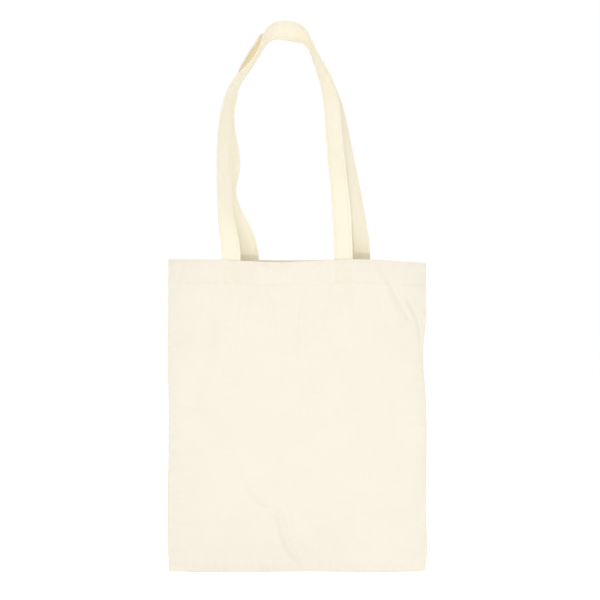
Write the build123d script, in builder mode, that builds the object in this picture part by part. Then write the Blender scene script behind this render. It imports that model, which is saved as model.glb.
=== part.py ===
from build123d import *
import os
from math import cos, radians, sin, sqrt

# A canvas tote bag hanging from its handles, in millimetres.
# +Z is up, the front panel faces -Y, and left is -X as seen from the front.
# The origin is the hang point: the underside of the handles' crown, over the middle of the bag.

# Body
bag_width = 348.0  # seam to seam, as the bag hangs
bag_height = 420.0  # mouth to bottom seam
half_depth = 15.0  # middle plane to the outer face of a panel
cloth = 0.8  # one ply of canvas
slope_width = 68.0  # each side of a panel, where it runs in to the side seam
slope_height = 80.0  # foot of a panel, where it runs in to the bottom seam
foot_swell = 0.5  # the curve of the foot starts this far out, so that it leaves the flat in a clean line
hem_height = 34.0  # turned over to the inside, two plies
hem_edge_bevel = 0.5  # softens the folded edge at the mouth
seam_allowance = 12.0  # edge turned to the inside along the sides and the bottom
seam_gap = 0.3  # between the two panels where their edges face each other
overrun = 1.0  # a panel is drawn this far past the middle plane, then cut back

# Handles
strap_width = 25.0
strap_thick = 2.0
handle_drop = 298.0  # hang point down to the mouth
handle_spacing = 151.0  # between the two legs of one handle
front_shift = -13.3  # middle of the front handle, from the middle of the bag
back_shift = 10.8  # middle of the back handle, from the middle of the bag
end_length = 31.0  # of each strap end, sewn inside the hem
bend_height = 2.0  # height above the mouth where a strap starts to bend over
bend_gap = 0.2  # between a sewn end and the free loop

# Sewing thread
thread_width = 0.6
thread_proud = 0.3
hem_stitch_rise = 2.5  # stitch line above the lower edge of the hem
box_side = 19.0  # stitched square that holds a strap end
box_drop = 19.5  # middle of that square below the mouth
seam_stitch_inset = 7.5  # seam stitches from the folded edge
overlock_width = 3.5  # thread that binds the cut edges of a seam
edge_stitch_inset = 3.0  # stitch rows along a strap, from its edges
thread_sink = 0.15  # how far those rows are pulled into the strap

mouth_z = -handle_drop
bottom_z = mouth_z - bag_height
hem_z = mouth_z - hem_height
bend_z = mouth_z + bend_height
half_width = bag_width / 2
flat_half = half_width - slope_width
slope_radius = (slope_width**2 + half_depth**2) / (2 * half_depth)
foot_depth = half_depth + foot_swell
foot_radius = (slope_height**2 + foot_depth**2) / (2 * foot_depth)
hem_inner = half_depth - 2 * cloth
strap_middle = hem_inner - strap_thick / 2
seam_face = seam_gap / 2 + cloth
middle_cut = Plane.XZ.offset(seam_gap / 2)
half_strap = strap_width / 2
UP = Vector(0, 0, 1)


def reach(radius, depth, inset):
    """How far the curve of a panel's edge runs before it has passed the middle plane by the overrun."""
    return sqrt((radius - inset) ** 2 - (radius - depth - overrun) ** 2)


def plan_outline(z, inset):
    """Front half of the bag seen from above, drawn in by inset."""
    depth = half_depth - inset
    tip = flat_half + reach(slope_radius, half_depth, inset)
    with BuildSketch(Plane.XY.offset(z)) as outline:
        with BuildLine():
            Line((-flat_half, -depth), (flat_half, -depth))
            TangentArc((flat_half, -depth), (tip, overrun), tangent=(1, 0))
            Line((tip, overrun), (-tip, overrun))
            TangentArc((-flat_half, -depth), (-tip, overrun), tangent=(-1, 0))
        make_face()
    return outline.sketch


def side_outline(inset):
    """Front half of the bag seen from its side: straight at the mouth, closing at the foot."""
    depth = foot_depth - inset
    foot = bottom_z + slope_height
    tip = foot - reach(foot_radius, foot_depth, inset)
    top = mouth_z + hem_height
    with BuildSketch(Plane.YZ.offset(-bag_width)) as outline:
        with BuildLine():
            Line((-depth, top), (-depth, foot))
            TangentArc((-depth, foot), (overrun, tip), tangent=(0, -1))
            Line((overrun, tip), (overrun, top))
            Line((overrun, top), (-depth, top))
        make_face()
    return outline.sketch


def panel_form(inset, low, high):
    """Solid half of the bag between two heights, drawn in by inset."""
    with BuildPart() as form:
        extrude(plan_outline(low, inset), amount=high - low)
        extrude(side_outline(inset), amount=2 * bag_width, mode=Mode.INTERSECT)
    return form.part


# The edges of one panel, turned in along its sides and its bottom
with BuildPart() as turned_edge:
    body_height = bag_height - hem_height
    with BuildSketch(middle_cut):
        with Locations((0, (bottom_z + hem_z) / 2)):
            Rectangle(bag_width, body_height)
        with Locations((0, (bottom_z + seam_allowance + hem_z) / 2)):
            Rectangle(bag_width - 2 * seam_allowance, body_height - seam_allowance, mode=Mode.SUBTRACT)
    extrude(amount=cloth)
    add(panel_form(0, bottom_z - slope_height, mouth_z), mode=Mode.INTERSECT)

# Front panel: one piece of canvas with its hem and its turned edges
with BuildPart() as front_panel:
    add(panel_form(0, bottom_z - slope_height, mouth_z))
    add(panel_form(cloth, bottom_z - slope_height, hem_z), mode=Mode.SUBTRACT)
    add(panel_form(2 * cloth, hem_z, mouth_z + cloth), mode=Mode.SUBTRACT)
    mouth_edges = faces().sort_by(Axis.Z)[-1].edges()
    chamfer(mouth_edges.filter_by(lambda edge: edge.length > slope_width / 2), hem_edge_bevel)
    split(bisect_by=middle_cut, keep=Keep.TOP)
    add(turned_edge.part)
front_panel.part.label = "front_panel"

# Back panel: the same cut, facing the other way
with BuildPart() as back_panel:
    add(front_panel.part)
    mirror(about=Plane.XZ, mode=Mode.REPLACE)
back_panel.part.label = "back_panel"


# The run of each handle from its left leg to its right leg, chosen by hand.
# A row holds the leg it belongs to (-1 left, 0 crown, 1 right), its distance to the right of that leg,
# its share of the rise to the crown, its distance outwards from the sewn ends, and its turn in degrees.
front_run = [
    (-1, 0, 0.0, 0, 0),
    (-1, -6, 0.17, 0, 30),
    (-1, -10, 0.42, 0, 44),
    (-1, -6.5, 0.635, 1, 55),
    (-1, 6.5, 0.78, 2, 70),
    (-1, 28, 0.91, 2.5, 74),
    (-1, 50, 0.985, 0, 45),
    (0, 0, 1.0, -3, 0),
    (1, -58, 0.975, -1.5, 25),
    (1, -40, 0.88, 2, 62),
    (1, -19, 0.75, 2, 48),
    (1, -11.5, 0.56, 1, 31),
    (1, -6, 0.33, 0, 20),
    (1, -1.5, 0.15, 0, 8),
    (1, 0, 0.0, 0, 0),
]
back_run = [
    (-1, 0, 0.0, 0, 0),
    (-1, -6, 0.1, 0, 15),
    (-1, -20, 0.2, 0, 30),
    (-1, -25.5, 0.36, 0, 40),
    (-1, -28, 0.57, 1, 48),
    (-1, -20.5, 0.73, 2, 64),
    (-1, -2.5, 0.84, 2.5, 70),
    (-1, 17, 0.94, 1.5, 60),
    (0, -22, 0.995, -3, 0),
    (1, -75, 0.955, 0, 45),
    (1, -53, 0.84, 2, 60),
    (1, -33, 0.66, 2, 52),
    (1, -21, 0.47, 1, 40),
    (1, -12, 0.3, 0, 28),
    (1, -4, 0.145, 0, 14),
    (1, 0, 0.0, 0, 0),
]


def leg_x(shift, side):
    """Middle of a handle's left or right leg."""
    return shift + side * handle_spacing / 2


def chord_shares(points):
    """Share of the way along a line of points at each point, and the length of the way."""
    places = [0.0]
    for start, end in zip(points, points[1:]):
        places.append(places[-1] + (end - start).length)
    return [place / places[-1] for place in places], places[-1]


def strap_curve(points, shares, length):
    """Smooth curve that leaves the left leg upwards and comes down into the right leg."""
    return Edge.make_spline(points, [UP * length, UP * -length], parameters=shares, scale=False)


def strap_frames(run, shift, facing):
    """Middle of a handle with its directions towards the loop and away from the bag, row by row."""
    foot_z = bend_z + bend_gap
    crown_z = strap_width / 2
    middle = []
    for side, bow, share, out, turn in run:
        z = foot_z + share * (crown_z - foot_z)
        middle.append(Vector(leg_x(shift, side) + bow, facing * (strap_middle + out), z))
    line = strap_curve(middle, *chord_shares(middle))
    frames = []
    for point, row in zip(middle, run):
        turn = radians(row[-1])
        along = line % line.param_at_point(point)
        inwards = along.cross(Vector(0, -1, 0)).normalized()
        across = inwards * cos(turn) + Vector(0, -facing, 0) * sin(turn)
        outwards = across.cross(along).normalized() * -facing
        frames.append((point, across, outwards))
    print("free strap length", round(line.length, 1))
    return frames


def ribbon(frames, across, outwards, label):
    """Band that follows a handle, between two distances across it and two distances out of it."""
    shares, length = chord_shares([point for point, _, _ in frames])
    corners = [
        (across[0], outwards[0]),
        (across[1], outwards[0]),
        (across[1], outwards[1]),
        (across[0], outwards[1]),
    ]
    rails = []
    for inward_step, outward_step in corners:
        points = [point + inner * inward_step + outer * outward_step for point, inner, outer in frames]
        rails.append(strap_curve(points, shares, length))
    skin = [Face(Wire.make_polygon([rail @ end for rail in rails])) for end in (0, 1)]
    for start, end in zip(shares, shares[1:]):
        spans = [rail.trim(start, end) for rail in rails]
        for span, after in zip(spans, spans[1:] + spans[:1]):
            skin.append(Face.make_surface_from_curves(span, after))
    with BuildPart() as band:
        add(Solid(Shell(skin)))
    band.part.label = label
    return band.part


def strap_end(x, facing, label):
    """Sewn end of a handle, flat against the inside of the hem."""
    low = mouth_z - end_length
    with BuildPart() as end:
        with BuildSketch(Plane.XY.offset(low)):
            with Locations((x, facing * strap_middle)):
                Rectangle(strap_width, strap_thick)
        extrude(amount=bend_z - low)
    end.part.label = label
    return end.part


def box_stitch(x, facing, label):
    """Stitched square with a cross in it, on the outer face of the hem over a strap end."""
    face = Plane((x, facing * half_depth, mouth_z - box_drop), x_dir=(1, 0, 0), z_dir=(0, facing, 0))
    diagonal = sqrt(2) * (box_side - thread_width)
    with BuildPart() as stitch:
        with BuildSketch(face):
            Rectangle(box_side, box_side)
            Rectangle(box_side - 2 * thread_width, box_side - 2 * thread_width, mode=Mode.SUBTRACT)
            Rectangle(diagonal, thread_width, rotation=45)
            Rectangle(diagonal, thread_width, rotation=-45)
        extrude(amount=thread_proud)
    stitch.part.label = label
    return stitch.part


# Hem stitches, along the outer face of each panel
with BuildPart() as front_hem_thread:
    stitch_z = hem_z + hem_stitch_rise
    extrude(plan_outline(stitch_z, -thread_proud), amount=thread_width)
    extrude(plan_outline(stitch_z, 0), amount=thread_width, mode=Mode.SUBTRACT)
    split(bisect_by=middle_cut, keep=Keep.TOP)
front_hem_thread.part.label = "front_hem_thread"
with BuildPart() as back_hem_thread:
    add(front_hem_thread.part)
    mirror(about=Plane.XZ, mode=Mode.REPLACE)
back_hem_thread.part.label = "back_hem_thread"


def seam_strip(x_low, x_high, z_low, z_high, label):
    """Thread along the turned edges of the back panel, where they face the inside of the bag."""
    with BuildPart() as strip:
        with BuildSketch(Plane.XZ.offset(-seam_face)):
            with Locations(((x_low + x_high) / 2, (z_low + z_high) / 2)):
                Rectangle(x_high - x_low, z_high - z_low)
        extrude(amount=-thread_proud)
    strip.part.label = label
    return strip.part


pieces = [front_panel.part, back_panel.part, front_hem_thread.part, back_hem_thread.part]

# Stitches and overlocking of the side seams and the bottom seam
edge_x = half_width - seam_allowance
edge_z = bottom_z + seam_allowance
stitch_x = half_width - seam_stitch_inset
stitch_low = bottom_z + seam_stitch_inset
for side, name in ((-1, "left"), (1, "right")):
    stitch_span = sorted((side * stitch_x, side * (stitch_x - thread_width)))
    bound_span = sorted((side * edge_x, side * (edge_x + overlock_width)))
    pieces.append(seam_strip(*stitch_span, edge_z, hem_z, f"{name}_seam_thread"))
    pieces.append(seam_strip(*bound_span, edge_z, hem_z, f"{name}_overlock"))
pieces.append(seam_strip(-edge_x, edge_x, stitch_low - thread_width, stitch_low, "bottom_seam_thread"))
pieces.append(seam_strip(-edge_x, edge_x, edge_z - overlock_width, edge_z, "bottom_overlock"))

# Handles: a free loop, two sewn ends and their stitches on each panel
for facing, name, shift, run in ((-1, "front", front_shift, front_run), (1, "back", back_shift, back_run)):
    frames = strap_frames(run, shift, facing)
    strap_out = (-strap_thick / 2, strap_thick / 2)
    pieces.append(ribbon(frames, (-half_strap, half_strap), strap_out, f"{name}_handle"))
    stitch_far = half_strap - edge_stitch_inset
    stitch_near = stitch_far - thread_width
    stitch_out = (strap_thick / 2 - thread_sink, strap_thick / 2 + thread_proud)
    pieces.append(ribbon(frames, (-stitch_far, -stitch_near), stitch_out, f"{name}_handle_outer_thread"))
    pieces.append(ribbon(frames, (stitch_near, stitch_far), stitch_out, f"{name}_handle_inner_thread"))
    for side, leg in ((-1, "left"), (1, "right")):
        pieces.append(strap_end(leg_x(shift, side), facing, f"{name}_{leg}_handle_end"))
        pieces.append(box_stitch(leg_x(shift, side), facing, f"{name}_{leg}_box_stitch"))

os.makedirs("parts", exist_ok=True)
for piece in pieces:
    export_step(piece, f"parts/{piece.label}.step")
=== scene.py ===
from math import cos, pi, radians, sin

import bpy
import numpy as np
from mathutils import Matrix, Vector


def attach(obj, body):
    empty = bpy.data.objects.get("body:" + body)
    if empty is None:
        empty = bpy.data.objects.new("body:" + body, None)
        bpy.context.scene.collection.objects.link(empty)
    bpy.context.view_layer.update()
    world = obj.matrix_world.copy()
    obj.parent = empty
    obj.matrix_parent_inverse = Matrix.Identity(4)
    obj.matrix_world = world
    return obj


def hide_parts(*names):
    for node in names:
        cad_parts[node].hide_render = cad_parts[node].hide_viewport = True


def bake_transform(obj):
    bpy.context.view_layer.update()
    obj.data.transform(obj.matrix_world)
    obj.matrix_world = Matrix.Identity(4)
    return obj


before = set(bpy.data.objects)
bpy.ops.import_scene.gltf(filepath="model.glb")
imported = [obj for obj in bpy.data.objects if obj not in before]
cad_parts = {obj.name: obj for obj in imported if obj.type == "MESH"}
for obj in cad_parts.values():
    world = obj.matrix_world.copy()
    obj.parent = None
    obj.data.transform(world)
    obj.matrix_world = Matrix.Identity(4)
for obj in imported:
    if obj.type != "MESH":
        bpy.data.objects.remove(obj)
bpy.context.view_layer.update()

# A canvas tote bag that hangs from its handles.
# Lengths are millimetres here, and turned to metres when a mesh is made.
# +Z is up, the front faces -Y, and the origin is the hang point under the crown of the handles.
MM = 0.001
FRONT, BACK = -1, 1
LEFT, RIGHT = -1, 1

# Body. Its width, height and hem are those of the CAD model.
HALF_WIDTH = 174.0
FLAT_HALF = 106.0  # half of a panel's flat part, near the mouth
MOUTH_Z = -298.0
BOTTOM_Z = -718.0
HEM_HEIGHT = 34.0
HEM_Z = MOUTH_Z - HEM_HEIGHT
FOOT_TOP = BOTTOM_Z + 86.0  # where a panel starts to run in to the bottom seam
CLOTH = 0.75
HEM_THICK = 1.6
PANEL_COLUMNS = 193  # points across a panel

# Seams, turned to the inside
SEAM_ROLL = 0.9  # radius at which the cloth turns in at a seam
SEAM_GAP = 0.1  # from the middle of a seam to the turned cloth
ROLL_START = radians(66)  # turn at which the cloth leaves the panel's face
ROLL_STEPS = 5
ROLL_REACH = SEAM_ROLL * (1 - cos(ROLL_START))
SEAM_DEPTH = SEAM_GAP + SEAM_ROLL * (1 + sin(ROLL_START))
SEAM_ALLOWANCE = 11.2
BOTTOM_SEAM_HALF = 160  # half of the bottom seam's turned edge, which stops short of the corners
SEAM_LENGTH = {"left": 370, "right": 370, "bottom": 2 * BOTTOM_SEAM_HALF}  # about, to count its stitches
SEAM_WANDER = 0.9  # how far the side seams wander from the middle plane
SEAM_SWAY = 0.5  # how far the turned edges wave from side to side
EDGE_RINGS = 130  # rings of points along a turned edge
EDGE_STEP = 2.9  # about the distance between them

# Straps. Their width, thickness, place and sewn length are those of the CAD model.
STRAP_WIDTH = 25.0
STRAP_THICK = 2.0
STRAP_MIDDLE = 12.4  # from the middle plane of the bag to the middle of a sewn strap end
STRAP_END = 31.0  # sewn inside the hem, below the mouth
BEND_Z = MOUTH_Z + 2.0
LOOP_FOOT = BEND_Z + 0.2  # where the free loop starts
LEG_SPACING = 151.0
SHIFT = {FRONT: -13.3, BACK: 10.8}  # middle of each handle, from the middle of the bag
CROWN_Z = STRAP_WIDTH / 2
EDGE_ROW = 9.5  # stitch rows of a strap, from its middle
RING_STEP = 3.0  # between the rings of points along a free loop
END_RINGS = 12  # rings of points on each sewn end

# Stitches
HEM_STITCH_Z = HEM_Z + 2.8
HEM_ROW_HALF = 170  # half of the hem's row of stitches, outside
HEM_INNER_HALF = 135  # the same inside
STITCH_PITCH = 3.0
STITCH_LENGTH = 2.3
STITCH_RADIUS = 0.28
STITCH_SINK = 0.3  # depth of a stitch's ends in the cloth
STITCH_LAY = 7.3  # shifts the lay from one stitch to the next
BOX_SIDE = 19.0
BOX_Z = MOUTH_Z - 19.5
BOX_PITCH = 2.7
BOX_SPAN = (0.08, 0.9)  # where a stitch starts and ends, as shares of that pitch
SEAM_STITCH_IN = 6.5  # seam stitches, from the seam line
OVERLOCK_PITCH = 2.4
OVERLOCK_RADIUS = 0.42
OVERLOCK_REACH = 2.0  # half of a loop's length, across the edge
OVERLOCK_HALF = 1.05  # half of its thickness round the edge
OVERLOCK_SLANT = 0.3  # along the seam, for each step round a loop


def smooth(low, high, value):
    """0 up to low, 1 from high on and an even curve between them, where either may be the greater."""
    share = np.clip((value - low) / (high - low), 0, 1)
    return share * share * (3 - 2 * share)


def unit(vectors):
    """Vectors brought to length 1."""
    return vectors / np.linalg.norm(vectors, axis=-1)[..., None]


def added_up(steps):
    """Sums of the steps so far, from 0."""
    return np.concatenate([[0], np.cumsum(steps)])


def smooth_curve(places, points, start_slope, end_slope):
    """Function for the smooth curve through points at those places, with its slopes at both ends."""
    places, points = np.asarray(places, float), np.asarray(points, float)
    step = np.diff(places)
    chord = np.diff(points, axis=0) / step[:, None]
    count = len(places)
    matrix, right = np.zeros((count, count)), np.zeros_like(points)
    matrix[0, :2], right[0] = (2 * step[0], step[0]), 6 * (chord[0] - start_slope)
    matrix[-1, -2:], right[-1] = (step[-1], 2 * step[-1]), 6 * (end_slope - chord[-1])
    for i in range(1, count - 1):
        matrix[i, i - 1 : i + 2] = step[i - 1], 2 * (step[i - 1] + step[i]), step[i]
        right[i] = 6 * (chord[i] - chord[i - 1])
    bend = np.linalg.solve(matrix, right)

    def at(place):
        place = np.asarray(place, float)
        i = np.clip(np.searchsorted(places, place, side="right") - 1, 0, count - 2)
        run, here = step[i][:, None], (place - places[i])[:, None]
        slope = chord[i] - run * (2 * bend[i] + bend[i + 1]) / 6
        return points[i] + here * (slope + here * (bend[i] / 2 + here * (bend[i + 1] - bend[i]) / (6 * run)))

    return at


def line_through(rows):
    """Function for a smooth line through (place, height) rows, level at both ends."""
    places, heights = zip(*rows)
    curve = smooth_curve(places, np.array(heights)[:, None], 0, 0)
    return lambda place: curve(np.clip(np.ravel(place), places[0], places[-1]))[:, 0].reshape(np.shape(place))


def ripple(seed, shortest, longest, count=7):
    """Function for an uneven ripple of about -1 to 1, the same on each run."""
    random = np.random.default_rng(seed)
    lengths = random.uniform(shortest, longest, count)
    phases = random.uniform(0, 2 * pi, count)
    return lambda place: sum(np.sin(2 * pi * place / n + p) for n, p in zip(lengths, phases)) / count * 1.8


# Outline of the bag: height of the mouth's edge over MOUTH_Z along X, and the side seams along Z
MOUTH_LINE = {
    FRONT: line_through([(-174, 2.0), (-92, 0.6), (-23, -2.0), (65, 1.8), (120, 0.2), (174, -2.6)]),
    BACK: line_through([(-174, 2.0), (-66, 1.2), (8, 0.7), (86, 1.6), (174, -2.6)]),
}
RIGHT_SEAM = line_through(
    [(-719, 172.4), (-705, 174.2), (-660, 174.8), (-550, 174.6), (-466, 172.2)]
    + [(-430, 169.6), (-385, 172.8), (-336, 173.3), (-294, 173.8)]
)
LEFT_SEAM = line_through([(-719, -173.4), (-700, -174.2), (-560, -174.0), (-400, -174.2), (-294, -173.8)])
BOTTOM_LINE = line_through([(-174, 0.8), (-150, 0.0), (20, 0.3), (150, 0.2), (174, 1.2)])
SEAM_WAVE = {LEFT: ripple(11, 30, 120), RIGHT: ripple(12, 30, 120)}
BOTTOM_WAVE = ripple(13, 40, 150)
# Half of a panel's flat part and the depth of its outer face, along Z
FLAT_LINE = line_through([(-720, 70), (-440, 70), (-345, FLAT_HALF), (-290, FLAT_HALF)])
FULLNESS = line_through([(-720, 14.6), (-560, 15.6), (-430, 14.2), (-340, 15.0), (-290, 15.0)])


def seam_x(side, z):
    """Where a side seam runs."""
    line = LEFT_SEAM if side == LEFT else RIGHT_SEAM
    return line(z) + 0.25 * SEAM_WAVE[side](z * 1.7)


def seam_y(x, z):
    """How far the seams wander from the middle plane, fading out towards the middle of the bag."""
    near_side = smooth(0.55, 1.0, np.abs(x) / HALF_WIDTH)
    side = np.where(x < 0, SEAM_WAVE[LEFT](z), SEAM_WAVE[RIGHT](z))
    near_bottom = smooth(BOTTOM_Z + 60, BOTTOM_Z, z)
    return SEAM_WANDER * side * near_side * (1 - near_bottom) + BOTTOM_WAVE(x) * near_bottom


# Folds of each panel: points (X, Z), height out of the cloth, width, and kind.
# A ridge stands out of the cloth, or in where its height is negative.
# A crease is a sharp dip between low lips. A step drops to the right of its line.
FOLDS = {
    FRONT: [
        ([(100, -302), (110, -318), (119, -340), (134, -371), (147, -392)], 3.1, 7, "ridge"),
        ([(117, -312), (126, -334), (138, -356), (150, -376), (162, -396)], 2.4, 2.6, "crease"),
        ([(141, -333), (150, -358), (160, -379), (165.5, -412), (167.5, -442)], 2.4, 2.6, "step"),
        (
            [(-114, -345), (-119, -398), (-126, -432), (-135, -466), (-145, -493), (-164, -521)],
            -3.4,
            12,
            "ridge",
        ),
        ([(-98, -350), (-101, -390), (-104, -430), (-112, -470)], 1.9, 10, "ridge"),
        ([(-47, -331), (-36, -347), (-31, -381), (-28, -418)], 2, 3.0, "crease"),
        ([(-54, -332), (-68, -352), (-75, -388), (-78, -414)], -2.6, 6, "ridge"),
        ([(13.5, -329), (5, -365), (0, -405), (-2, -460)], 2.3, 2.8, "crease"),
        ([(36, -352), (37, -378), (35, -398)], 1.4, 3.0, "crease"),
        ([(-76, -580), (-68, -600), (-55, -622), (-38, -629), (-24, -628)], 2.8, 3.0, "crease"),
        ([(-34, -625), (-23, -639), (-15, -671), (-3, -693), (11, -716)], 4.1, 4.2, "ridge"),
        ([(-42, -628), (-31, -645), (-23, -673), (-10, -699), (3, -716)], 2.2, 2.6, "crease"),
        ([(-12, -645), (17, -651), (58, -634), (101, -624), (146, -600)], -3.8, 10, "ridge"),
        ([(20, -672), (60, -660), (104, -648), (140, -632)], 1.9, 13, "ridge"),
        ([(-152, -301), (-158, -318), (-165, -340)], 2.2, 3.0, "crease"),
        ([(62, -336), (67, -372), (64, -418)], 1.9, 10, "ridge"),
        ([(-150, -560), (-90, -582), (-20, -585), (60, -570)], 1.4, 26, "ridge"),
        ([(150, -462), (140, -530), (147, -590)], -2.4, 13, "ridge"),
    ],
    BACK: [
        ([(-86, -334), (-108, -374), (-136, -424), (-166, -476)], -2.6, 9, "ridge"),
        ([(-100, -332), (-124, -366), (-148, -404)], 1.9, 2.8, "crease"),
        ([(-56, -332), (-40, -376), (-34, -436)], 1.7, 3.0, "crease"),
        ([(92, -334), (112, -372), (140, -410), (165, -446)], -2.6, 9, "ridge"),
        ([(108, -332), (130, -362), (152, -396)], 1.8, 2.8, "crease"),
        ([(20, -330), (14, -380), (18, -450)], 1.8, 3.0, "crease"),
        ([(-146, -640), (-80, -618), (-10, -632), (62, -652)], -2.8, 11, "ridge"),
        ([(30, -714), (42, -680), (66, -644), (108, -612)], 3.0, 4.6, "ridge"),
        ([(20, -714), (33, -682), (56, -646), (92, -616)], 1.7, 2.8, "crease"),
        ([(-60, -560), (10, -548), (90, -560)], 1.3, 22, "ridge"),
        ([(-130, -500), (-120, -550), (-132, -604)], -1.8, 14, "ridge"),
    ],
}
CREASE_SHADE = {"ridge": 0.0, "crease": 0.24, "step": 0.5}  # painted shade along each kind of fold: how far the colour darkens where the fold's shade falls


def fold_height(x, z, points, height, width, kind, painted_shade=False):
    """Height of one fold over the cloth, fading out at both of its ends, or the painted shade along it."""
    places = 60
    share = np.linspace(0, 1, len(points))
    ends = np.diff(np.array(points, float), axis=0)[[0, -1]] * (len(points) - 1)
    track = smooth_curve(share, points, *ends)(np.linspace(0, 1, places))
    along = unit(np.gradient(track, axis=0))
    gap_x, gap_z = x[..., None] - track[:, 0], z[..., None] - track[:, 1]
    nearest = np.argmin(gap_x**2 + gap_z**2, axis=-1)
    pick = np.take_along_axis
    gap_x = pick(gap_x, nearest[..., None], -1)[..., 0]
    gap_z = pick(gap_z, nearest[..., None], -1)[..., 0]
    off = np.hypot(gap_x, gap_z)
    right = gap_z * along[nearest, 0] - gap_x * along[nearest, 1]
    run = nearest / (places - 1)
    fade = smooth(0, 0.3, run) * smooth(1, 0.7, run)
    # Painted shade: the colour darkens along the fold's line, where its shade falls
    if painted_shade:
        return fade * np.exp(-((off / 2.2) ** 2)) * CREASE_SHADE[kind]
    if kind == "ridge":
        return fade * height * np.exp(-((off / width) ** 2))
    if kind == "crease":
        return fade * height * (0.55 * np.exp(-((off / (3.2 * width)) ** 2)) - np.exp(-off / width))
    beside = np.exp(-((off / (5 * width)) ** 2))
    return -fade * height * (smooth(-width, width, np.copysign(off, right)) - 0.35) * beside


PUCKER = {FRONT: ripple(21, 7, 17, 9), BACK: ripple(22, 7, 17, 9)}
SIDE_PUCKER = {LEFT: ripple(23, 9, 22), RIGHT: ripple(24, 9, 22)}
FOOT_PUCKER = ripple(25, 10, 26)
SOFT_WAVE = {
    FRONT: (ripple(31, 90, 220), ripple(32, 110, 260)),
    BACK: (ripple(33, 90, 220), ripple(34, 110, 260)),
}
SLACK = 0.9  # height of the soft waves below the hem
HEM_PUCKER = 0.55  # height of the puckers along the hem's stitches
SEAM_PUCKER = 0.5  # height of the puckers along the seams
HEM_RISE = 0.4  # of the doubled cloth over the single cloth
STITCH_DIP = 0.5  # along the hem's stitches


def leg_x(facing, side):
    """Middle of a handle's left or right leg, or of its crown where side is 0."""
    return SHIFT[facing] + side * LEG_SPACING / 2


def strap_cover(facing, x):
    """1 over a strap end, 0 away from it."""
    legs = [leg_x(facing, side) for side in (LEFT, RIGHT)]
    return sum(smooth(17, 12, np.abs(x - leg)) for leg in legs)


def folds(facing, x, z):
    """Folds, puckers and slack of a panel, outwards."""
    total = sum(fold_height(x, z, *fold) for fold in FOLDS[facing])
    wide, tall = SOFT_WAVE[facing]
    below_hem = smooth(HEM_Z + 4, HEM_Z - 50, z)
    total += SLACK * wide(x + 0.35 * z) * tall(z - 0.3 * x) * below_hem
    stitched = np.exp(-((z - HEM_STITCH_Z) / 2.0) ** 2)
    free = 1 - strap_cover(facing, x) * smooth(HEM_Z - 3, HEM_Z + 3, z)
    fading = np.where(z > HEM_STITCH_Z, np.exp(-(z - HEM_STITCH_Z) / 30), np.exp((z - HEM_STITCH_Z) / 16))
    total += free * HEM_PUCKER * fading * PUCKER[facing](x + 0.05 * (z - HEM_STITCH_Z))
    total += HEM_RISE * smooth(HEM_Z - 0.6, HEM_Z + 0.6, z) - STITCH_DIP * stitched
    return total


def outer_y(facing, x, z):
    """Y of the outer face of a panel."""
    span = np.where(x < 0, -seam_x(LEFT, z), seam_x(RIGHT, z)) - 0.5
    flat = FLAT_LINE(z)
    out = np.clip((np.abs(x) - flat) / (span - flat), 0, 1)
    down = np.clip((FOOT_TOP - z) / (FOOT_TOP - BOTTOM_Z - BOTTOM_LINE(x) - 0.5), 0, 1)
    full = np.clip(1 - np.sqrt(out**4 + down**4), 0, 1)
    depth = SEAM_DEPTH + (FULLNESS(z) - SEAM_DEPTH) * full
    side = np.where(x < 0, SIDE_PUCKER[LEFT](z), SIDE_PUCKER[RIGHT](z))
    near_side = smooth(0.55, 0.9, out) * smooth(1.0, 0.93, out)
    near_foot = smooth(0.7, 0.93, down) * smooth(1.0, 0.95, down)
    seams = SEAM_PUCKER * side * near_side + SEAM_PUCKER * FOOT_PUCKER(x) * near_foot
    return seam_y(x, z) + facing * (depth + seams + folds(facing, x, z) * smooth(0.0, 0.25, full))


def outer_points(facing, x, z):
    """Points of a panel's outer face, and its outward normals."""
    x, z = np.asarray(x, float), np.asarray(z, float)
    y = outer_y(facing, x, z)
    step = 0.3
    slope_x = (outer_y(facing, x + step, z) - outer_y(facing, x - step, z)) / (2 * step)
    slope_z = (outer_y(facing, x, z + step) - outer_y(facing, x, z - step)) / (2 * step)
    normal = np.stack([-slope_x, np.ones_like(y), -slope_z], -1) * facing
    return np.stack([x, y, z], -1), unit(normal)


def make_object(name, points, faces):
    """Mesh object from points in millimetres."""
    mesh = bpy.data.meshes.new(name)
    mesh.from_pydata((np.asarray(points) * MM).tolist(), [], faces)
    mesh.validate()
    mesh.polygons.foreach_set("use_smooth", [True] * len(mesh.polygons))
    obj = bpy.data.objects.new(name, mesh)
    bpy.context.scene.collection.objects.link(obj)
    return obj


def set_flat(obj, flat):
    """Keeps where each point lies on the flat cloth, in metres, for the weave."""
    layer = obj.data.attributes.new("flat", "FLOAT_VECTOR", "POINT")
    layer.data.foreach_set("vector", (np.asarray(flat, float) * MM).astype(np.float32).ravel())


def set_value(obj, name, values):
    """Keeps one number for each point, for a material."""
    layer = obj.data.attributes.new(name, "FLOAT", "POINT")
    layer.data.foreach_set("value", np.asarray(values, np.float32))


def grid_faces(rows, columns, flip):
    """Four-sided faces of a grid of points kept row by row."""
    first = (np.arange(rows - 1)[:, None] * columns + np.arange(columns - 1)).ravel()
    corners = [first, first + 1, first + columns + 1, first + columns]
    return np.stack(corners[::-1] if flip else corners, -1).tolist()


def tube_faces(rings, around, flip=False):
    """Faces of a tube made of rings of points, with a cap at each end."""
    starts = np.arange(rings - 1)[:, None] * around
    first = (starts + np.arange(around)).ravel()
    after = (starts + (np.arange(around) + 1) % around).ravel()
    sides = np.stack([first, after, after + around, first + around], -1).tolist()
    caps = [list(range(around))[::-1], [(rings - 1) * around + k for k in range(around)]]
    return [face[::-1] if flip else face for face in sides + caps]


def repeat_faces(faces, count, points_each):
    """The same faces for a number of like parts of one mesh."""
    bases = range(0, count * points_each, points_each)
    return [[base + k for k in face] for base in bases for face in faces]


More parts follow.
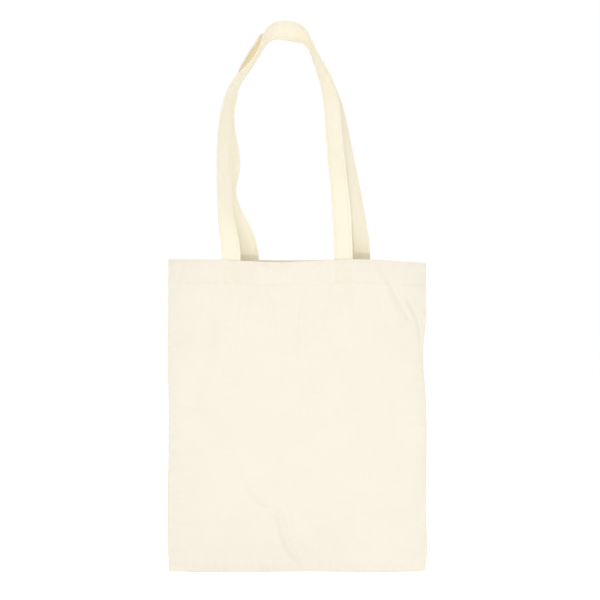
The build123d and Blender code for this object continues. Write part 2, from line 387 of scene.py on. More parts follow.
def rows_down():
    """Shares of the way from the mouth to the bottom, close together at the hem and the seam."""
    hem = HEM_HEIGHT + 6
    tall = MOUTH_Z - BOTTOM_Z
    near_hem = np.arange(0, hem, 1.25)
    middle = np.linspace(hem, tall - 20, 180)
    near_seam = np.linspace(tall - 18, tall, 8)
    return np.concatenate([near_hem, middle, near_seam]) / tall


def panel_face(facing, shares):
    """Rows of points on a panel's outer face, down to where it turns in at the bottom seam."""
    across = np.linspace(-1, 1, PANEL_COLUMNS)
    lines = []
    for share in shares:
        x = across * HALF_WIDTH
        # X and Z of a row hang on each other, and settle in three rounds
        for _ in range(3):
            top, low = MOUTH_Z + MOUTH_LINE[facing](x), BOTTOM_Z + BOTTOM_LINE(x) + ROLL_REACH
            z = top + (low - top) * share
            left, right = seam_x(LEFT, z) + ROLL_REACH, seam_x(RIGHT, z) - ROLL_REACH
            x = left + (right - left) * (across + 1) / 2
        lines.append(np.stack([x, outer_y(facing, x, z), z], -1))
    return np.array(lines)


def panel_points(facing, shares):
    """Points of a panel, row by row, with its edges turned in along the sides and the bottom."""
    turn = np.linspace(ROLL_START, -pi / 2, ROLL_STEPS + 1)[1:]
    roll_in = SEAM_ROLL * (1 - np.cos(turn))
    roll_out = SEAM_GAP + SEAM_ROLL * (1 + np.sin(turn))
    face = panel_face(facing, shares)
    foot = face[-1]
    rolls = []
    for inwards, deep in zip(roll_in, roll_out):
        ring = foot.copy()
        ring[:, 2] = foot[:, 2] - ROLL_REACH + inwards
        ring[:, 1] = seam_y(foot[:, 0], np.full(len(foot), BOTTOM_Z)) + facing * deep
        rolls.append(ring)
    lines = np.concatenate([face, np.array(rolls)])
    depth_of_row = np.concatenate([np.full(len(shares), roll_out[0] + 1), roll_out])
    sides = {}
    for side, edge in ((LEFT, lines[:, 0]), (RIGHT, lines[:, -1])):
        wander = seam_y(np.full(len(edge), side * HALF_WIDTH), np.maximum(edge[:, 2], BOTTOM_Z))
        columns = []
        for inwards, deep in zip(roll_in, roll_out):
            column = edge.copy()
            column[:, 0] += side * (ROLL_REACH - inwards)
            column[:, 1] = wander + facing * np.minimum(deep, depth_of_row)
            columns.append(column)
        sides[side] = np.stack(columns, 1)
    return np.concatenate([sides[LEFT][:, ::-1], lines, sides[RIGHT]], 1)


def panel_wear_and_shade(facing, points, flat_x, flat_z):
    """How far a panel is worn along its edges, with painted shade along its sharp folds."""
    from_side = np.minimum(flat_x, flat_x[-1] - flat_x)[None, :]
    from_end = np.minimum(flat_z, flat_z[-1] - flat_z)[:, None]
    wear_and_shade = np.maximum(np.exp(-from_side / 7), np.exp(-from_end / 6))
    # Painted shade along the sharp folds, kept in the same values as the wear
    for fold in FOLDS[facing]:
        wear_and_shade = np.maximum(wear_and_shade, fold_height(points[..., 0], points[..., 2], *fold, painted_shade=True))
    return wear_and_shade


def thicken(obj, in_hem):
    """Gives a panel its thickness, with two layers in the hem, and soft edges."""
    group = obj.vertex_groups.new(name="thick")
    single = CLOTH / HEM_THICK
    for index, value in enumerate(in_hem):
        group.add([index], single + (1 - single) * float(value), "REPLACE")
    solid = obj.modifiers.new("cloth", "SOLIDIFY")
    solid.thickness = HEM_THICK * MM
    solid.offset = -1
    solid.vertex_group = "thick"
    solid.use_even_offset = False
    soft = obj.modifiers.new("soft_edges", "BEVEL")
    soft.width = 0.35 * MM
    soft.segments = 2
    soft.limit_method = "ANGLE"
    soft.angle_limit = radians(60)


def panel(name, facing):
    """One panel of canvas with its hem, and its flat size."""
    shares = rows_down()
    points = panel_points(facing, shares)
    rows, columns = points.shape[:2]
    steps_x = np.linalg.norm(np.diff(points, axis=1), axis=-1)
    steps_z = np.linalg.norm(np.diff(points, axis=0), axis=-1)
    flat_x = added_up(np.median(steps_x, axis=0))
    flat_z = added_up(np.median(steps_z, axis=1))
    flat = np.zeros_like(points)
    flat[..., 0] = flat_x[None, :] - flat_x[-1] / 2
    flat[..., 1] = flat_z[:, None]
    # A corner where both edges turn in is left open, as the seams hide it
    main = np.zeros((rows, columns), bool)
    main[: len(shares)] = True
    main[:, ROLL_STEPS:-ROLL_STEPS] = True
    kept = main.ravel()
    number = np.cumsum(kept) - 1
    quads = np.array(grid_faces(rows, columns, facing == FRONT))
    quads = quads[kept[quads].all(axis=1)]
    obj = make_object(name, points[main], number[quads].tolist())
    set_flat(obj, flat[main])
    set_value(obj, "wear_and_shade", panel_wear_and_shade(facing, points, flat_x, flat_z)[main])
    in_hem = smooth(HEM_HEIGHT + 0.6, HEM_HEIGHT - 0.6, flat_z)[:, None]
    thicken(obj, np.broadcast_to(in_hem, main.shape)[main])
    return obj, (flat_x[-1], flat_z[-1])


def thread_pieces(name, starts, ends, normals, lift=0.12, sides=6):
    """Stitches, each a short thread that comes up out of the cloth and dips into it again."""
    starts, ends, normals = (np.asarray(a, float).reshape(-1, 3) for a in (starts, ends, normals))
    shares = np.array([0.0, 0.14, 0.38, 0.62, 0.86, 1.0])
    heights = np.array([-STITCH_SINK, 0.3 * lift, lift, lift, 0.3 * lift, -STITCH_SINK])
    sizes = np.array([0.45, 0.85, 1.0, 1.0, 0.85, 0.45]) * STITCH_RADIUS
    run = ends - starts
    length = np.linalg.norm(run, axis=1)
    along = run / length[:, None]
    beside = unit(np.cross(along, normals))
    above = np.cross(beside, along)
    turn = np.arange(sides) * 2 * pi / sides
    middle = starts[:, None] + run[:, None] * shares[:, None] + above[:, None] * heights[:, None]
    ring = np.cos(turn)[:, None] * beside[:, None, None] + np.sin(turn)[:, None] * above[:, None, None]
    points = middle[:, :, None] + ring * sizes[:, None, None]
    count, rings = points.shape[:2]
    faces = [[face[0], *face[:0:-1]] for face in tube_faces(rings, sides)]
    obj = make_object(name, points.reshape(-1, 3), repeat_faces(faces, count, rings * sides))
    flat = np.zeros((count, rings, sides, 3))
    flat[..., 0] = turn * STITCH_RADIUS
    flat[..., 1] = (length[:, None] * shares + np.arange(count)[:, None] * STITCH_LAY)[..., None]
    set_flat(obj, flat.reshape(-1, 3))
    return obj


def hem_stitches(name, facing):
    """Row of stitches along the hem, outside and inside."""
    x = np.arange(-HEM_ROW_HALF, HEM_ROW_HALF, STITCH_PITCH)
    after = x + STITCH_LENGTH
    start, normal = outer_points(facing, x, HEM_STITCH_Z + MOUTH_LINE[facing](x))
    end, _ = outer_points(facing, after, HEM_STITCH_Z + MOUTH_LINE[facing](after))
    inner = np.abs(x) < HEM_INNER_HALF
    inside = HEM_THICK * normal[inner]
    starts = np.concatenate([start, start[inner] - inside])
    ends = np.concatenate([end, end[inner] - inside])
    return thread_pieces(name, starts, ends, np.concatenate([normal, -normal[inner]]))


def box_lines():
    """Stitch lines of the square with a cross in it, from its middle."""
    half = BOX_SIDE / 2
    corners = [(-half, -half), (half, -half), (half, half), (-half, half)]
    square = list(zip(corners, corners[1:] + corners[:1]))
    return square + [(corners[0], corners[2]), (corners[1], corners[3])]


def box_stitches(name, facing, leg):
    """Stitched square over a strap end, on the panel's face and on the strap inside."""
    starts, ends = [], []
    for low, high in box_lines():
        low, high = np.array(low), np.array(high)
        count = round(np.linalg.norm(high - low) / BOX_PITCH)
        for k in range(count):
            starts.append(low + (high - low) * (k + BOX_SPAN[0]) / count)
            ends.append(low + (high - low) * (k + BOX_SPAN[1]) / count)
    starts, ends = np.array(starts), np.array(ends)
    outside = [outer_points(facing, leg + a[:, 0], BOX_Z + a[:, 1]) for a in (starts, ends)]
    inner = facing * (STRAP_MIDDLE - STRAP_THICK / 2)
    inside = [np.stack([leg + a[:, 0], np.full(len(a), inner), BOX_Z + a[:, 1]], -1) for a in (starts, ends)]
    normals = np.concatenate([outside[0][1], np.tile([0.0, -facing, 0.0], (len(starts), 1))])
    first = np.concatenate([outside[0][0], inside[0]])
    last = np.concatenate([outside[1][0], inside[1]])
    return thread_pieces(name, first, last, normals)


# The run of each handle from its left leg to its right leg.
# It keeps near the CAD loop, with more of a twist at the left shoulder.
# A row holds the leg (-1 left, 0 crown, 1 right), the distance to the right of that leg,
# the share of the rise to the crown, the distance outwards from the sewn ends, and the turn in degrees.
RUN = {
    FRONT: [
        (-1, 0, 0.0, 0, 0),
        (-1, -6, 0.17, 0, 30),
        (-1, -10, 0.42, 0, 44),
        (-1, -6.5, 0.635, 1, 55),
        (-1, 1.7, 0.732, 2, 62),
        (-1, 12.6, 0.793, 2, 70),
        (-1, 26.6, 0.846, 2.5, 80),
        (-1, 37.3, 0.898, 2.5, 83),
        (-1, 44.4, 0.942, 2, 75),
        (-1, 53.7, 0.983, 0, 50),
        (0, -1.5, 1.0, -3, 0),
        (1, -57, 0.98, -1.5, 44),
        (1, -37, 0.88, 2, 70),
        (1, -20.5, 0.75, 2, 44),
        (1, -13.2, 0.56, 1, 31),
        (1, -6, 0.33, 0, 20),
        (1, -1.5, 0.15, 0, 8),
        (1, 0, 0.0, 0, 0),
    ],
    BACK: [
        (-1, 0, 0.0, 0, 0),
        (-1, -6.5, 0.1, 0, 7),
        (-1, -21.4, 0.2, 0, 14),
        (-1, -29.2, 0.3, 0, 30),
        (-1, -24.2, 0.4, 0, 30),
        (-1, -28, 0.57, 1, 50),
        (-1, -26.0, 0.662, 1.5, 60),
        (-1, -20.6, 0.723, 2, 68),
        (-1, -15.5, 0.776, 2.5, 86),
        (-1, -12.9, 0.811, 2.5, 98),
        (-1, -7.0, 0.846, 2.5, 105),
        (-1, 0.6, 0.881, 2.5, 110),
        (-1, 6.6, 0.916, 2.5, 110),
        (-1, 13.2, 0.951, 2, 107),
        (-1, 17.6, 0.981, 1, 99),
        (-1, 29.6, 0.999, -1, 52),
        (0, -22, 0.998, -3, 10),
        (1, -74, 0.962, 0, 62),
        (1, -52, 0.84, 2, 65),
        (1, -31.5, 0.66, 2, 52),
        (1, -21, 0.47, 1, 40),
        (1, -12, 0.3, 0, 28),
        (1, -4, 0.145, 0, 14),
        (1, 0, 0.0, 0, 0),
    ],
}


def strap_frames(facing):
    """Middle of a strap every few millimetres, its directions across and outwards, and its run so far."""
    middle = []
    for side, bow, share, out, _ in RUN[facing]:
        height = LOOP_FOOT + share * (CROWN_Z - LOOP_FOOT)
        middle.append((leg_x(facing, side) + bow, facing * (STRAP_MIDDLE + out), height))
    middle = np.array(middle)
    places = added_up(np.linalg.norm(np.diff(middle, axis=0), axis=1))
    up = np.array([0.0, 0.0, 1.0])
    line = smooth_curve(places, middle, up, -up)
    turns = smooth_curve(places, np.array([[row[-1]] for row in RUN[facing]], float), 0, 0)
    at = np.linspace(0, places[-1], round(places[-1] / RING_STEP))
    loop, turn = line(at), np.radians(turns(at)[:, 0])
    ends = []
    for side in (LEFT, RIGHT):
        z = np.linspace(MOUTH_Z - STRAP_END, LOOP_FOOT, END_RINGS + 1)[:-1]
        x = np.full(END_RINGS, leg_x(facing, side))
        ends.append(np.stack([x, np.full(END_RINGS, facing * STRAP_MIDDLE), z], -1))
    points = np.concatenate([ends[0], loop, ends[1][::-1]])
    turn = np.concatenate([np.zeros(END_RINGS), turn, np.zeros(END_RINGS)])
    along = unit(np.gradient(points, axis=0))
    inwards = unit(np.cross(along, [0, -1, 0]))
    across = inwards * np.cos(turn)[:, None] + np.array([0, -facing, 0]) * np.sin(turn)[:, None]
    across = unit(across - along * (across * along).sum(1)[:, None])
    outwards = np.cross(across, along) * -facing
    far = added_up(np.linalg.norm(np.diff(points, axis=0), axis=1))
    return points, across, outwards, far


# Half of a strap's section: distance from its middle and half of its thickness, with a dip at the stitch row
STRAP_SECTION = [(0, 1.0), (4.0, 1.0), (7.4, 1.02), (8.9, 0.95), (9.5, 0.74)]
STRAP_SECTION += [(10.1, 0.93), (11.6, 1.0), (12.3, 0.92), (12.5, 0.7)]
CUP = 0.8  # how far the strap is cupped across its width
EDGE_WAVE = 0.22  # height of the waves along its edges

# Painted glow: where a warm tone is painted into the rear strap's colour, standing in for light that has gone
# through the cloth and bounced between the straps, at the left shoulder and in the shade at the foot
SHOULDER_START = (-78, -26)  # heights between which it comes in
SHOULDER_END = (14, -2)  # and goes out again
SHOULDER_GLOW_PAINT = 0.85
SHOULDER_RIM = (12.4, 7)  # from the strap's middle, where it comes in from the rim
FOOT_START = (-284, -292)  # heights between which it comes in at the foot
FOOT_GLOW_PAINT = 0.15


def left_shoulder(points):
    """1 where a strap runs over the left shoulder of the loop, fading out to both sides."""
    height = points[..., 2]
    return smooth(*SHOULDER_START, height) * smooth(*SHOULDER_END, height) * (points[..., 0] < 0)


def fade_ends(far, start, full):
    """0 near both ends of a strap, and 1 between them."""
    return smooth(start, full, far) * smooth(far[-1] - start, far[-1] - full, far)


def strap_form(facing):
    """Points of a strap's skin, ring by ring, with the lift of its two faces over the middle."""
    points, across, outwards, far = strap_frames(facing)
    half = STRAP_SECTION[:0:-1]
    top = [(-w, t) for w, t in half] + STRAP_SECTION
    section = np.array(top + [(w, -t) for w, t in reversed(top)])
    seed = 41 if facing == FRONT else 45
    cup = ripple(seed, 150, 330)(far) * fade_ends(far, 45, 90)
    wave = ripple(seed + 1, 8, 20)(far) * fade_ends(far, 36, 60)
    twin = ripple(seed + 2, 8, 20)(far) * fade_ends(far, 36, 60)
    share = section[:, 0] / (STRAP_WIDTH / 2)
    edges = wave[:, None] * np.clip(share, 0, 1) ** 3 + twin[:, None] * np.clip(-share, 0, 1) ** 3
    lift = CUP * cup[:, None] * (share**2 - 0.4) + EDGE_WAVE * edges
    skin = points[:, None] + across[:, None] * section[:, 0][:, None]
    skin = skin + outwards[:, None] * (section[:, 1] + lift)[..., None]
    return skin, section, lift, (points, across, outwards, far)


def strap(name, facing):
    """A whole handle, the loop and both sewn ends, and its length."""
    skin, section, _, (_, _, _, far) = strap_form(facing)
    rings, around = skin.shape[:2]
    obj = make_object(name, skin.reshape(-1, 3), tube_faces(rings, around, flip=facing == BACK))
    flat = np.zeros((rings, around, 3))
    # On the flat cloth, the second face lies beside the first
    flat[..., 0] = section[:, 0] + np.where(section[:, 1] < 0, 40, 0)
    flat[..., 1] = far[:, None]
    set_flat(obj, flat.reshape(-1, 3))
    wear_and_shade = 0.4 * np.exp(-(STRAP_WIDTH / 2 - np.abs(section[:, 0])) / 1.6)
    set_value(obj, "wear_and_shade", np.tile(wear_and_shade, rings))
    if facing == BACK:
        # Painted glow: a warm tone painted on one face at the left shoulder and faintly on the other face at
        # the foot, where the strap lies in shade
        inner = (section[:, 1] > 0) * smooth(*SHOULDER_RIM, section[:, 0])
        shoulder = SHOULDER_GLOW_PAINT * left_shoulder(skin) * inner
        foot = FOOT_GLOW_PAINT * smooth(*FOOT_START, skin[..., 2]) * (section[:, 1] < 0)
        set_value(obj, "painted_glow", (shoulder + foot).ravel())
    return obj, far[-1]


def strap_stitches(name, facing):
    """Both stitch rows of a strap, on both of its faces."""
    _, section, lift, (points, across, outwards, far) = strap_form(facing)
    starts, ends, normals = [], [], []
    count = int((far[-1] - 6) / STITCH_PITCH)
    begin = 3 + np.arange(count) * STITCH_PITCH

    def along_strap(values, place):
        return np.stack([np.interp(place, far, values[:, k]) for k in range(3)], -1)

    for row in (-EDGE_ROW, EDGE_ROW):
        for face in (1, -1):
            k = int(np.argmin(np.abs(section[:, 0] - row) + (np.sign(section[:, 1]) != face) * 99))
            line = points + across * row + outwards * (section[k, 1] + lift[:, k])[:, None]
            starts.append(along_strap(line, begin))
            ends.append(along_strap(line, begin + STITCH_LENGTH))
            normals.append(along_strap(outwards, begin) * face)
    starts, ends, normals = (np.concatenate(rows) for rows in (starts, ends, normals))
    return thread_pieces(name, starts, ends, normals, lift=0.1, sides=5)


def seam_line(part, count):
    """Points along a seam, with its directions along it and into the bag."""
    if part == "bottom":
        x = np.linspace(-BOTTOM_SEAM_HALF, BOTTOM_SEAM_HALF, count)
        z = BOTTOM_Z + BOTTOM_LINE(x)
        into = np.tile([0.0, 0.0, 1.0], (count, 1))
        points = np.stack([x, seam_y(x, np.full(count, BOTTOM_Z)), z], -1)
    else:
        side = LEFT if part == "left" else RIGHT
        z = np.linspace(HEM_Z + 2, BOTTOM_Z + 14, count)
        x = seam_x(side, z)
        into = np.tile([-float(side), 0.0, 0.0], (count, 1))
        points = np.stack([x, seam_y(x, z), z], -1)
    return points, unit(np.gradient(points, axis=0)), into


def seam_room(part, points):
    """1 along a seam, and down to 0 near a corner, where the two panels lie close together."""
    if part == "bottom":
        return smooth(150, 100, np.abs(points[:, 0]))
    return smooth(BOTTOM_Z + 22, BOTTOM_Z + 62, points[:, 2])


def seam_sway(part):
    """Function for how a seam's turned edges wave from side to side."""
    return ripple(len(part) + 50, 14, 40)


def seam_edge(name, part):
    """The two turned edges of a seam, lying together inside the bag, with their flat size."""
    points, _, into = seam_line(part, EDGE_RINGS)
    far = np.arange(EDGE_RINGS) * EDGE_STEP
    wave = seam_sway(part)(far) * seam_room(part, points)
    across = np.array([SEAM_ROLL + 0.2, 3.0, 5.0, 7.0, 9.0, SEAM_ALLOWANCE])
    skin = []
    for place, thick in [(a, CLOTH) for a in across] + [(a, -CLOTH) for a in across[::-1]]:
        ring = points + into * place
        ring[:, 1] += thick + wave * SEAM_SWAY * (place / SEAM_ALLOWANCE) ** 2
        skin.append(ring)
    skin = np.stack(skin, 1)
    rings, around = skin.shape[:2]
    obj = make_object(name, skin.reshape(-1, 3), tube_faces(rings, around, flip=part == "right"))
    flat = np.zeros((rings, around, 3))
    flat[..., 0] = np.concatenate([across, 30 - across[::-1]])
    flat[..., 1] = far[:, None]
    set_flat(obj, flat.reshape(-1, 3))
    set_value(obj, "wear_and_shade", np.zeros(rings * around))
    length = np.linalg.norm(np.diff(points, axis=0), axis=1).sum()
    return obj, (across[-1] - across[0], length)


def seam_stitches(name, part):
    """Row of stitches through a seam's turned edges, seen on both sides of them."""
    count = 2 * int(SEAM_LENGTH[part] / STITCH_PITCH)
    points, _, into = seam_line(part, count)
    line = points + into * SEAM_STITCH_IN
    starts, ends, normals = [], [], []
    for face in (-1, 1):
        lifted = line + np.array([0, face * CLOTH, 0])
        first, second = lifted[0:-1:2], lifted[1::2]
        starts.append(first)
        ends.append(first + (second - first) * 1.5)
        normals.append(np.tile([0.0, face, 0.0], (len(first), 1)))
    return thread_pieces(name, np.concatenate(starts), np.concatenate(ends), np.concatenate(normals))


def overlock(name, part):
    """Thread that binds the cut edges of a seam, in slanted loops round the edge."""
    length = SEAM_LENGTH[part]
    count = int(length / OVERLOCK_PITCH)
    points, along, into = seam_line(part, count)
    far = np.arange(count) * length / count
    room = seam_room(part, points)
    sway = seam_sway(part)(far) * SEAM_SWAY * room
    turn = np.linspace(-0.75, 0.75, 7) * pi
    sides = 5
    ring_turn = np.arange(sides) * 2 * pi / sides
    tube = []
    for k, angle in enumerate(turn):
        place = SEAM_ALLOWANCE - 1.6 + OVERLOCK_REACH * cos(angle) - (1.2 if abs(angle) > 0.6 * pi else 0)
        side = OVERLOCK_HALF * sin(angle) / max(abs(sin(angle)), 0.75) if abs(angle) > 0.2 else 0.0
        centre = points + into * place + along * (k - 3) * OVERLOCK_SLANT
        centre[:, 1] += side * (0.55 + 0.45 * room) + sway
        tube.append(centre)
    tube = np.stack(tube, 1)
    run = unit(np.gradient(tube, axis=1))
    beside = unit(along[:, None] - run * (run * along[:, None]).sum(-1)[..., None])
    above = np.cross(run, beside)
    ring = np.cos(ring_turn)[:, None] * beside[:, :, None] + np.sin(ring_turn)[:, None] * above[:, :, None]
    skin = tube[:, :, None] + ring * OVERLOCK_RADIUS
    loops, rings = skin.shape[:2]
    faces = repeat_faces(tube_faces(rings, sides), loops, rings * sides)
    obj = make_object(name, skin.reshape(-1, 3), faces)
    # Places on the thread, for its lay
    flat = np.zeros((loops, rings, sides, 3))
    flat[..., 0] = ring_turn * 0.4
    flat[..., 1] = (np.arange(rings) * 1.2)[None, :, None] + (np.arange(loops) * 5.1)[:, None, None]
    set_flat(obj, flat.reshape(-1, 3))
    return obj


def new_material(name, roughness, sheen, level):
    """Material with its shader, ready for nodes."""
    material = bpy.data.materials.new(name)
    material.use_nodes = True
    tree = material.node_tree
    shader = tree.nodes["Principled BSDF"]
    shader.inputs["Roughness"].default_value = roughness
    shader.inputs["Sheen Weight"].default_value = sheen
    shader.inputs["Sheen Roughness"].default_value = 0.5
    shader.inputs["Specular IOR Level"].default_value = level
    return material, tree, shader


def link(tree, source, target):
    """Joins an output socket to an input, or sets the input to a plain value."""
    if isinstance(source, bpy.types.NodeSocket):
        tree.links.new(source, target)
    else:
        target.default_value = source


def math_node(tree, operation, first, second=0.0, third=0.5):
    """One sum on numbers."""
    node = tree.nodes.new("ShaderNodeMath")
    node.operation = operation
    for source, target in zip((first, second, third), node.inputs):
        link(tree, source, target)
    return node.outputs[0]


def waves(tree, place, pitch):
    """Even waves along a place, one for each pitch in metres."""
    return math_node(tree, "SINE", math_node(tree, "MULTIPLY", place, 2 * pi / pitch))


def attribute(tree, name):
    """Node for what a mesh keeps under that name."""
    node = tree.nodes.new("ShaderNodeAttribute")
    node.attribute_name = name
    return node


def flat_place(tree):
    """Where a point lies on the flat cloth, as a vector and as its two parts."""
    vector = attribute(tree, "flat").outputs["Vector"]
    parts = tree.nodes.new("ShaderNodeSeparateXYZ")
    tree.links.new(vector, parts.inputs[0])
    return vector, parts.outputs["X"], parts.outputs["Y"]


def noise(tree, vector, stretch, scale, detail=2.0):
    """Noise on the flat cloth, stretched by its two directions."""
    mapping = tree.nodes.new("ShaderNodeMapping")
    mapping.inputs["Scale"].default_value = (*stretch, 1.0)
    tree.links.new(vector, mapping.inputs["Vector"])
    node = tree.nodes.new("ShaderNodeTexNoise")
    node.inputs["Scale"].default_value = scale
    node.inputs["Detail"].default_value = detail
    tree.links.new(mapping.outputs["Vector"], node.inputs["Vector"])
    return node.outputs["Fac"]


def mix_colour(tree, share, first, second, blend="MIX"):
    """Two colours mixed by a share."""
    node = tree.nodes.new("ShaderNodeMix")
    node.data_type = "RGBA"
    node.blend_type = blend
    link(tree, share, node.inputs["Factor"])
    link(tree, first, node.inputs["A"])
    link(tree, second, node.inputs["B"])
    return node.outputs["Result"]


def from_srgb(red, green, blue):
    """Linear colour from the usual 0 to 255 scale."""
    channels = []
    for value in (red / 255, green / 255, blue / 255):
        channels.append(value / 12.92 if value <= 0.04045 else ((value + 0.055) / 1.055) ** 2.4)
    return (*channels, 1.0)


def spread(tree, share, low, high, to_low=0.0, to_high=1.0, kind="LINEAR"):
    """A share moved from the range low to high on to another range."""
    node = tree.nodes.new("ShaderNodeMapRange")
    node.interpolation_type = kind
    node.inputs["From Min"].default_value = low
    node.inputs["From Max"].default_value = high
    node.inputs["To Min"].default_value = to_low
    node.inputs["To Max"].default_value = to_high
    tree.links.new(share, node.inputs["Value"])
    return node.outputs["Result"]


def bump(tree, height, distance, strength, normal=None):
    """Small relief, on top of another where one is given."""
    node = tree.nodes.new("ShaderNodeBump")
    node.inputs["Distance"].default_value = distance
    node.inputs["Strength"].default_value = strength
    tree.links.new(height, node.inputs["Height"])
    if normal is not None:
        tree.links.new(normal, node.inputs["Normal"])
    return node.outputs["Normal"]


WEAVE_PITCH = 0.0011  # metres for two yarns side by side
STRAND_PITCH = 0.0008  # metres for one strand of sewing thread
PLAIN_YARN = (1.0, 1.0, 1.0, 1.0)
THICK_YARN = (0.965, 0.957, 0.935, 1.0)
GLOW_PAINT_COLOUR = from_srgb(254, 229, 181)  # painted glow: colour of light through the cloth, painted where two straps lie close


def cloth_material(name, pale, deep, dirt_and_shade):
    """Natural cotton canvas: a plain weave of uneven yarns, mottled a little, greyed where its edges are
    handled and darkened by painted shade along sharp folds, with a painted warm glow where a mesh asks for
    it.
    """
    material, tree, shader = new_material(name, roughness=0.86, sheen=0.12, level=0.25)
    vector, x, y = flat_place(tree)
    weave = math_node(tree, "MULTIPLY", waves(tree, x, WEAVE_PITCH), waves(tree, y, WEAVE_PITCH))
    mottle = noise(tree, vector, (1, 1), 16, 3)
    warp_slub = noise(tree, vector, (1100, 22), 1.0)
    weft_slub = noise(tree, vector, (16, 900), 1.0)
    slub = math_node(tree, "MULTIPLY", math_node(tree, "ADD", warp_slub, weft_slub), 0.5)
    tone = mix_colour(tree, spread(tree, mottle, 0.3, 0.72), pale, deep)
    yarns = mix_colour(tree, spread(tree, slub, 0.36, 0.68), PLAIN_YARN, THICK_YARN)
    shade = mix_colour(tree, 1.0, tone, yarns, "MULTIPLY")
    crossing = math_node(tree, "MULTIPLY_ADD", weave, 0.05, 0.5)
    woven = mix_colour(tree, crossing, shade, deep)
    patches = spread(tree, noise(tree, vector, (1, 1), 55, 3), 0.35, 0.7)
    # Real wear along the edges and painted shade along the sharp folds, both darkening towards the dirt and
    # shade colour
    wear_and_shade = math_node(tree, "MULTIPLY", attribute(tree, "wear_and_shade").outputs["Fac"], patches)
    soiled_and_shaded = mix_colour(tree, math_node(tree, "MULTIPLY", wear_and_shade, 0.45), woven, dirt_and_shade)
    # Painted glow: a warm tone painted where the mesh asks for it, standing in for light through the cloth
    painted_glow = attribute(tree, "painted_glow").outputs["Fac"]
    tree.links.new(mix_colour(tree, painted_glow, soiled_and_shaded, GLOW_PAINT_COLOUR), shader.inputs["Base Color"])
    tree.links.new(spread(tree, slub, 0.0, 1.0, 0.8, 0.93), shader.inputs["Roughness"])
    crumple = noise(tree, vector, (1, 1), 95, 3)
    normal = bump(tree, crumple, 0.0011, 0.35)
    normal = bump(tree, slub, 0.00015, 0.3, normal)
    normal = bump(tree, weave, 0.0001, 0.2, normal)
    tree.links.new(normal, shader.inputs["Normal"])
    return material


def thread_material(name, pale, deep):
    """Cotton sewing thread, with the slanted lay of its strands."""
    material, tree, shader = new_material(name, roughness=0.7, sheen=0.1, level=0.3)
    vector, x, y = flat_place(tree)
    lay = waves(tree, math_node(tree, "ADD", x, y), STRAND_PITCH)
    fuzz = noise(tree, vector, (1, 1), 900, 2)
    share = math_node(tree, "MULTIPLY", math_node(tree, "ADD", lay, fuzz), 0.4)
    tree.links.new(mix_colour(tree, share, pale, deep), shader.inputs["Base Color"])
    tree.links.new(bump(tree, lay, 0.0001, 0.5), shader.inputs["Normal"])
    return material


# Pale and deep tones of each cloth, then the colour of its worn edges, which also serves as painted shade in
# the folds
CANVAS_COLOURS = (from_srgb(247, 242, 230), from_srgb(244, 237, 222), from_srgb(232, 220, 193))
STRAP_COLOURS = (from_srgb(253, 248, 231), from_srgb(251, 243, 220), from_srgb(239, 227, 199))
CANVAS = cloth_material("canvas", *CANVAS_COLOURS)
STRAP = cloth_material("strap", *STRAP_COLOURS)
THREAD = thread_material("thread", from_srgb(248, 240, 220), from_srgb(240, 229, 203))
OVERLOCK_THREAD = thread_material("overlock_thread", from_srgb(250, 244, 228), from_srgb(243, 234, 212))


def finish_piece(obj, material, slot_name, *nodes):
    """Gives a piece its material and hides the CAD nodes that it stands for. slot_name is not used."""
    obj.data.materials.append(material)
    if nodes:
        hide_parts(*nodes)


NAMES = {FRONT: "front", BACK: "back"}
SIDES = {LEFT: "left", RIGHT: "right"}
for facing, word in NAMES.items():
    cloth, cut = panel(f"{word}_cloth", facing)
    finish_piece(cloth, CANVAS, "canvas", f"{word}_panel")
    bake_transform(cloth)
    row = hem_stitches(f"{word}_hem_stitches", facing)
    finish_piece(row, THREAD, "thread", f"{word}_hem_thread")
    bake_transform(row)

    loop, length = strap(f"{word}_strap", facing)
    ends = [f"{word}_{side}_handle_end" for side in SIDES.values()]
    finish_piece(loop, STRAP, "strap", f"{word}_handle", *ends)
    rows = strap_stitches(f"{word}_strap_stitches", facing)
    finish_piece(rows, THREAD, "thread", f"{word}_handle_inner_thread", f"{word}_handle_outer_thread")
    for piece in (loop, rows):
        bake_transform(piece)

    for side, side_word in SIDES.items():
        box = box_stitches(f"{word}_{side_word}_box", facing, leg_x(facing, side))
        finish_piece(box, THREAD, "thread", f"{word}_{side_word}_box_stitch")
        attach(box, f"{word}_panel")

for part in ("left", "right", "bottom"):
    edge, cut = seam_edge(f"{part}_seam_edge", part)
    finish_piece(edge, CANVAS, "canvas")
    row = seam_stitches(f"{part}_seam_stitches", part)
    finish_piece(row, THREAD, "thread", f"{part}_seam_thread")
    binding = overlock(f"{part}_binding", part)
    finish_piece(binding, OVERLOCK_THREAD, "overlock_thread", f"{part}_overlock")
    for piece in (edge, row, binding):
        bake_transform(piece)


def area_light(name, place, target, size, power):
    """Soft lamp that points at a place."""
    lamp = bpy.data.lights.new(name, "AREA")
    lamp.shape = "DISK"
    lamp.size = size
    lamp.energy = power
    obj = bpy.data.objects.new(name, lamp)
    obj.location = place
    obj.rotation_euler = (Vector(target) - Vector(place)).to_track_quat("-Z", "Y").to_euler()
    bpy.context.scene.collection.objects.link(obj)


def seen_directly(tree):
    """1 for what the camera, gloss or glass sees, 0 for light that falls on the object."""
    path = tree.nodes.new("ShaderNodeLightPath")
    share = math_node(tree, "MAXIMUM", path.outputs["Is Camera Ray"], path.outputs["Is Glossy Ray"])
    return math_node(tree, "MAXIMUM", share, path.outputs["Is Transmission Ray"])


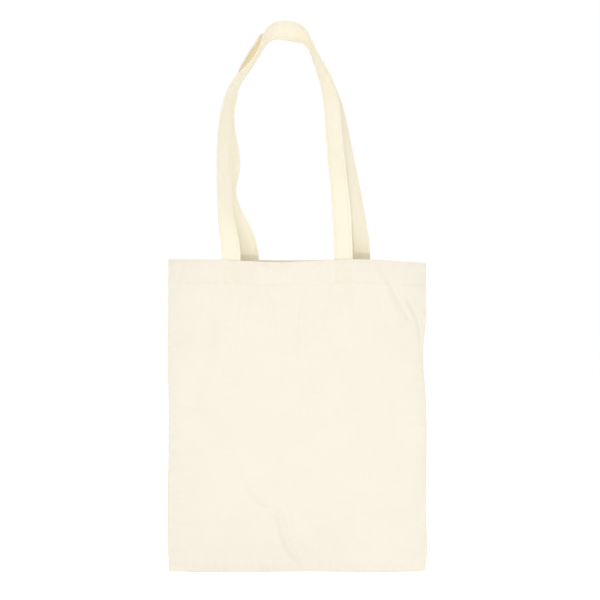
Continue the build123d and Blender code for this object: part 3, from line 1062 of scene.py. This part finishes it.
def white_world(strength):
    """Even light from all round, in front of a white background."""
    world = bpy.data.worlds.new("studio")
    bpy.context.scene.world = world
    world.use_nodes = True
    tree = world.node_tree
    light = tree.nodes["Background"]
    light.inputs["Color"].default_value = (1, 1, 1, 1)
    light.inputs["Strength"].default_value = strength
    white = tree.nodes.new("ShaderNodeBackground")
    white.inputs["Color"].default_value = (1, 1, 1, 1)
    mix = tree.nodes.new("ShaderNodeMixShader")
    tree.links.new(seen_directly(tree), mix.inputs["Fac"])
    tree.links.new(light.outputs[0], mix.inputs[1])
    tree.links.new(white.outputs[0], mix.inputs[2])
    tree.links.new(mix.outputs[0], tree.nodes["World Output"].inputs["Surface"])


def white_floor(level, near_glow, far_glow):
    """Pale floor under the bag, white further off, which keeps the shadow near the bag."""
    half = 9.0
    corners = [(-half, -half, level), (half, -half, level), (half, half, level), (-half, half, level)]
    floor = make_object("floor", np.array(corners) / MM, [(0, 1, 2, 3)])
    material = bpy.data.materials.new("floor")
    material.use_nodes = True
    tree = material.node_tree
    tree.nodes.remove(tree.nodes["Principled BSDF"])
    matt = tree.nodes.new("ShaderNodeBsdfDiffuse")
    matt.inputs["Color"].default_value = (0.9, 0.9, 0.9, 1)
    distance = tree.nodes.new("ShaderNodeVectorMath")
    distance.operation = "DISTANCE"
    distance.inputs[1].default_value = (0, -0.05, level)
    tree.links.new(tree.nodes.new("ShaderNodeNewGeometry").outputs["Position"], distance.inputs[0])
    glow = spread(tree, distance.outputs["Value"], 0.1, 0.55, near_glow, far_glow, "SMOOTHSTEP")
    shine = tree.nodes.new("ShaderNodeEmission")
    seen = math_node(tree, "MULTIPLY", seen_directly(tree), glow)
    tree.links.new(seen, shine.inputs["Strength"])
    both = tree.nodes.new("ShaderNodeAddShader")
    tree.links.new(matt.outputs[0], both.inputs[0])
    tree.links.new(shine.outputs[0], both.inputs[1])
    tree.links.new(both.outputs[0], tree.nodes["Material Output"].inputs["Surface"])
    floor.data.materials.append(material)


# Places and sizes of the floor, the lamps and the camera are metres, and power is watts
white_world(strength=0.75)
white_floor(level=-0.80, near_glow=0.17, far_glow=0.45)
area_light("key", place=(-0.05, -1.28, -0.72), target=(0, 0, -0.4), size=0.12, power=2.8)
area_light("fill", place=(1.6, -1.5, 0.3), target=(0, 0, -0.3), size=1.0, power=3.0)
area_light("top", place=(-1.1, -1.6, 1.1), target=(0, 0, -0.3), size=1.0, power=5.8)
area_light("back", place=(0.6, 1.2, 1.2), target=(0, 0, -0.4), size=1.0, power=15)

camera = bpy.data.objects.new("camera", bpy.data.cameras.new("camera"))
camera.data.lens = 150
camera.data.sensor_width = 36
camera.data.clip_end = 100
camera.location = (0.0037, -3.375, -0.351)
camera.rotation_euler = (radians(90), 0, 0)
bpy.context.scene.collection.objects.link(camera)
bpy.context.scene.camera = camera
bpy.context.scene.view_settings.view_transform = "Standard"
